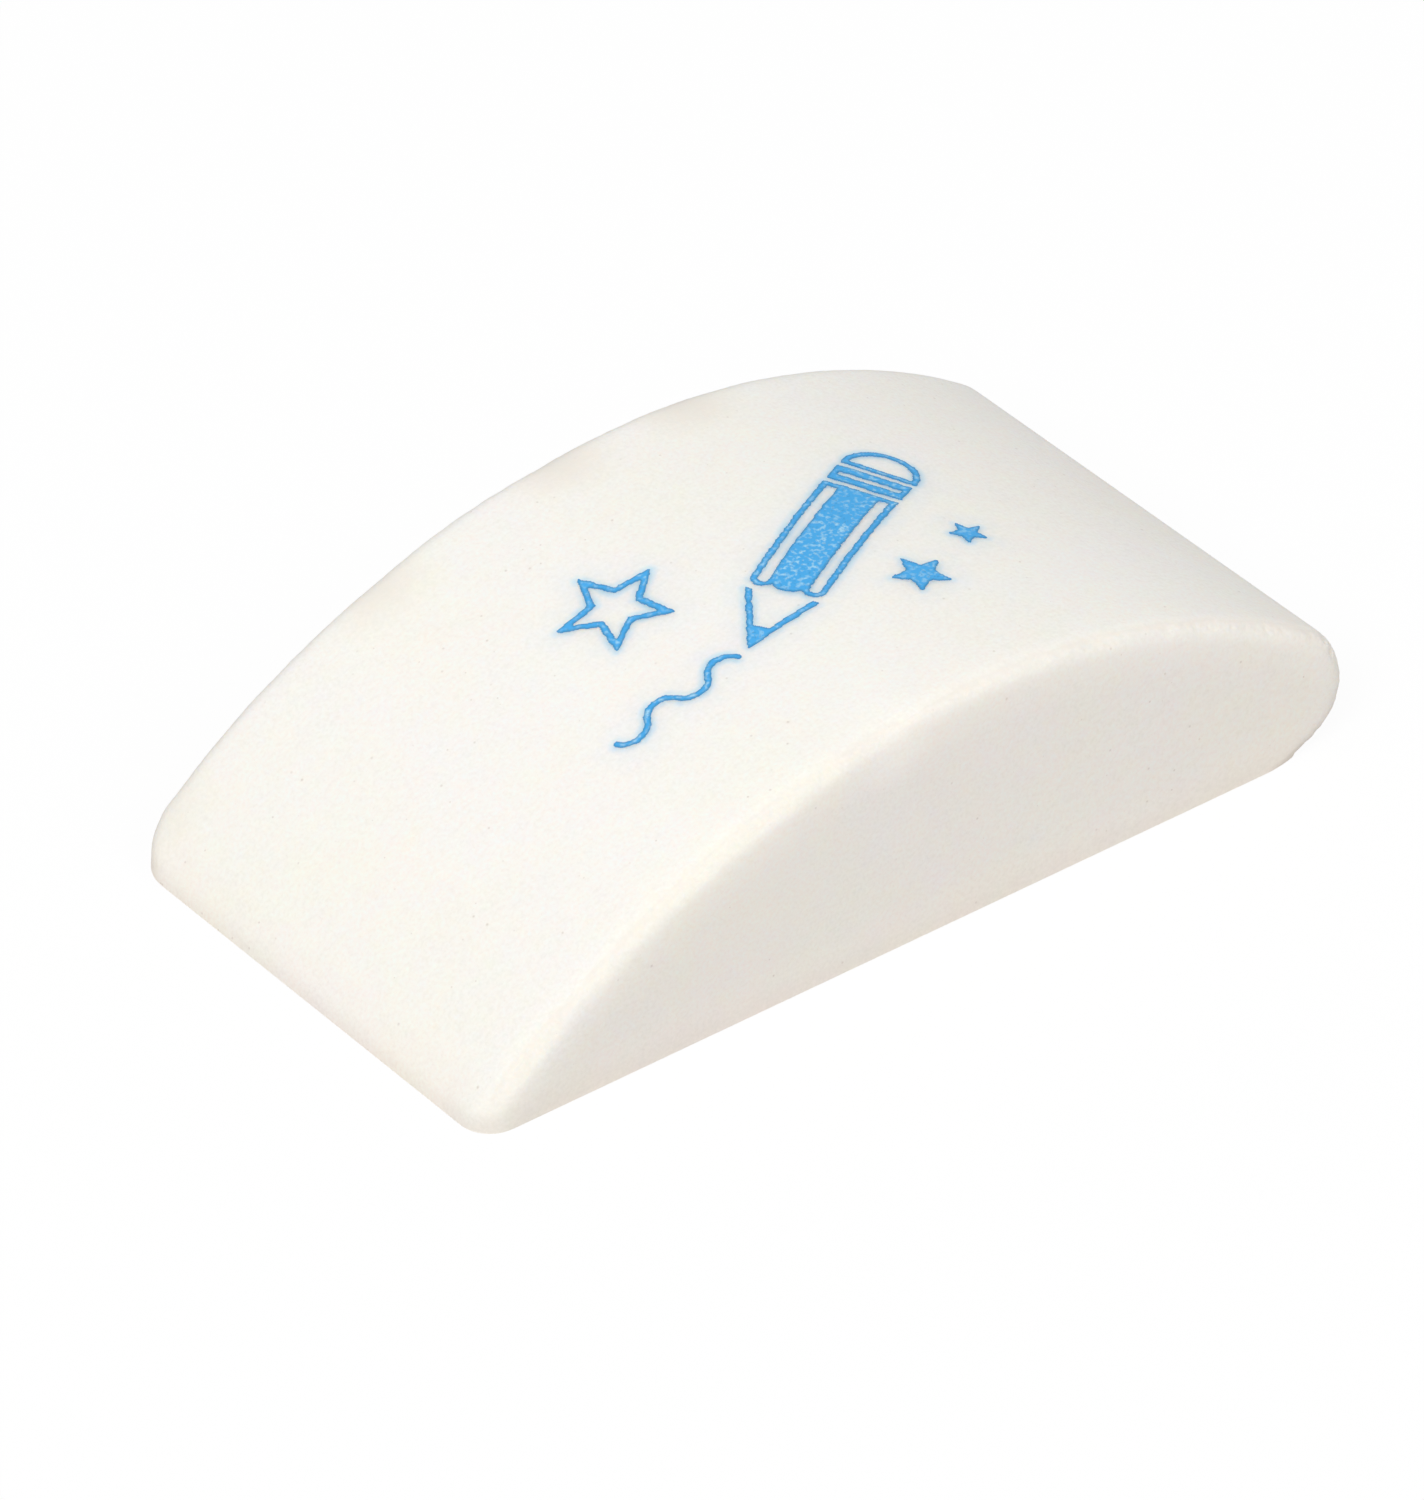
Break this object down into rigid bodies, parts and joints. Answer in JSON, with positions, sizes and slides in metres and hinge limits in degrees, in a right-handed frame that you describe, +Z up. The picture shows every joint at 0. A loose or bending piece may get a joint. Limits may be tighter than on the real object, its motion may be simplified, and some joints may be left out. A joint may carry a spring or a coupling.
{
  "type": "block eraser",
  "caption": "Arched block of white eraser rubber with a flat base, a thin front lip, a round rear nose and a small blue print on its curved top.",
  "frame": {"origin": "middle of the flat base that the block rests on", "axes": "+X along the block, from the thin front lip to the round nose; +Y across it; +Z up, from the base to the crown"},
  "size_m": [0.058, 0.0314, 0.0146],
  "materials": {
    "rubber": "matt, finely powdered",
    "ink": "matt printed film"
  },
  "bodies": {
    "root": {"eraser_body": "rubber", "print_pencil_point": "ink", "print_pencil_barrel": "ink", "print_pencil_band": "ink", "print_pencil_cap": "ink", "print_wave": "ink", "print_star_large": "ink", "print_star_medium": "ink", "print_star_small": "ink"}
  },
  "joints": []
}
